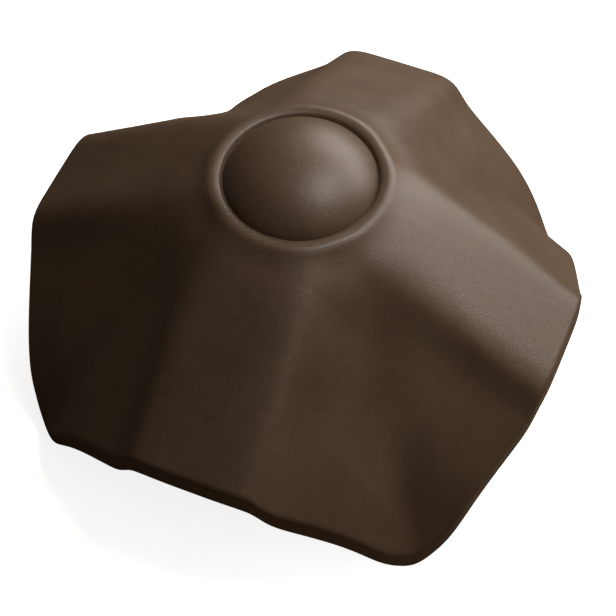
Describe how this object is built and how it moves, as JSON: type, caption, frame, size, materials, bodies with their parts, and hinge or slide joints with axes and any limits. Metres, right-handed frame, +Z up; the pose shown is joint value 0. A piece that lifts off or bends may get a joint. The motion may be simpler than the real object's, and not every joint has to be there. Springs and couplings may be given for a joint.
{
  "type": "four-way hip cap roof tile",
  "caption": "Pressed roof cap with sloping arms at right angles, a ringed dome at the top and a hollow underside, for the peak of a pyramid roof.",
  "frame": {"origin": "on the upright axis, at the level of the four corner feet", "axes": "+Z up along the dome's axis, +X and +Y along two of the arms"},
  "size_m": [0.371, 0.371, 0.21],
  "materials": {
    "engobe_brown": "satin dark brown engobe on fired clay"
  },
  "bodies": {
    "root": {"hip_cap": "engobe_brown"}
  },
  "joints": []
}
